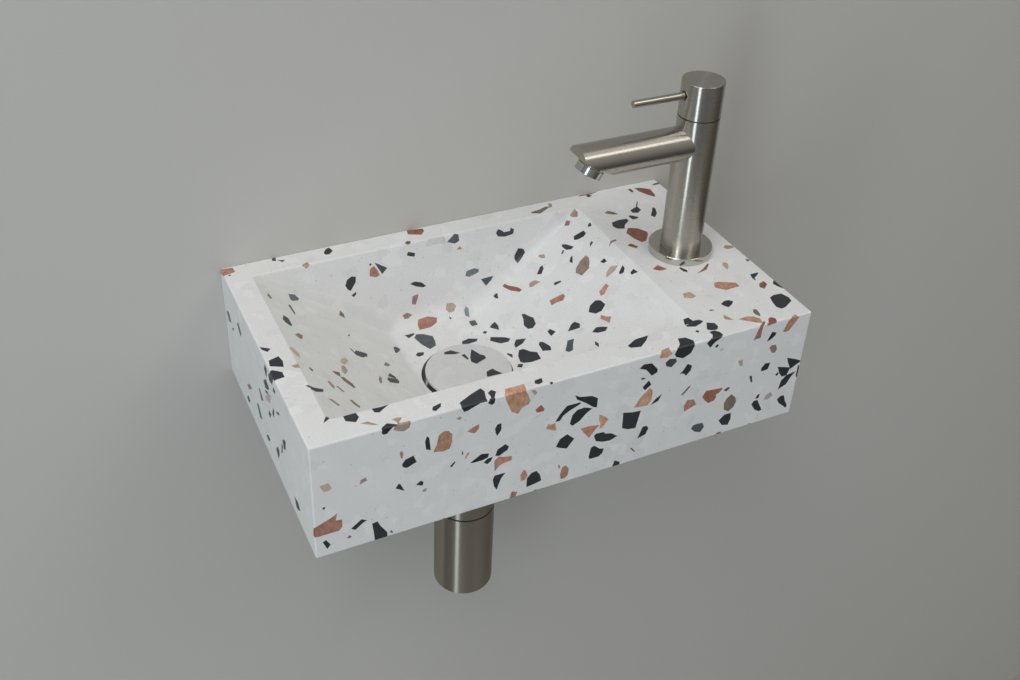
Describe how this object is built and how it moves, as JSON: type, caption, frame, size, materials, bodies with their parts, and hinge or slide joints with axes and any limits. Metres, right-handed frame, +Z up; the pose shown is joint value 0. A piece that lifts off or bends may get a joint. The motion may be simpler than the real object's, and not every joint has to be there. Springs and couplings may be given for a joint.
{
  "type": "cloakroom basin with tap",
  "caption": "Small wall-hung terrazzo wash basin with a side deck tap, a lift-out waste cover and a bottle trap below.",
  "frame": {"origin": "on the wall plane, midway between the two fixing holes in the basin's back", "axes": "+X along the wall towards the tap, +Y into the wall, +Z up"},
  "size_m": [0.36, 0.265, 0.4071],
  "materials": {
    "terrazzo": "honed terrazzo with dark, rust and sand chips",
    "brushed_steel": "brushed stainless steel",
    "polished_steel": "polished stainless steel",
    "brass": "plain turned brass",
    "rubber": "black rubber",
    "plastic": "pale moulded plastic",
    "dark_plastic": "black moulded plastic",
    "ceramic": "lapped ceramic"
  },
  "bodies": {
    "basin_set": {"basin": "terrazzo", "waste_body": "polished_steel", "waste_top_seal": "rubber", "waste_gasket": "rubber", "waste_washer": "plastic", "waste_nut": "brass", "inlet_nut": "brushed_steel", "inlet_seal": "rubber", "dip_tube": "brushed_steel", "trap_head": "brushed_steel", "head_ring": "rubber", "outlet_nut": "brushed_steel", "outlet_seal": "rubber", "outlet_pipe": "brushed_steel", "wall_rosette": "brushed_steel", "tap_flange": "polished_steel", "base_seal": "rubber", "tap_body": "brushed_steel", "spout": "brushed_steel", "aerator_housing": "polished_steel", "aerator_washer": "rubber", "aerator_insert": "plastic", "tap_shank": "brass", "shank_gasket": "rubber", "shank_washer": "polished_steel", "shank_nut": "brass", "cartridge_body": "brass", "cartridge_nut": "brass", "cartridge_seal": "rubber", "fixed_disc": "ceramic", "glide_ring": "dark_plastic"},
    "cover": {"waste_cover": "terrazzo", "cover_carrier": "polished_steel", "cover_buffer": "rubber"},
    "handle": {"handle_head": "brushed_steel", "lever": "brushed_steel", "grub_screw": "polished_steel", "spindle": "brass", "moving_disc": "ceramic"},
    "cup_ring": {"cup_seal": "rubber"},
    "cup": {"trap_cup": "brushed_steel"}
  },
  "joints": [
    {"name": "handle_turn", "type": "hinge", "parent": "basin_set", "child": "handle", "pos_m": [0.13875, -0.101, 0.172], "axis": [0, 0, 1], "range_deg": [0, 90]},
    {"name": "cover_lift", "type": "slide", "parent": "basin_set", "child": "cover", "axis": [0, 0, 1], "range_m": [0, 0.03]},
    {"name": "cup_drop", "type": "slide", "parent": "basin_set", "child": "cup_ring", "axis": [0, 0, -1], "range_m": [0, 0.0065]},
    {"name": "cup_turn", "type": "hinge", "parent": "cup_ring", "child": "cup", "pos_m": [-0.03225, -0.101, -0.1285], "axis": [0, 0, -1], "range_deg": [0, 720]}
  ],
  "couplings": [
    {"joint": "cup_drop", "follows": "cup_turn", "m_per_rad": 0.00047746}
  ]
}
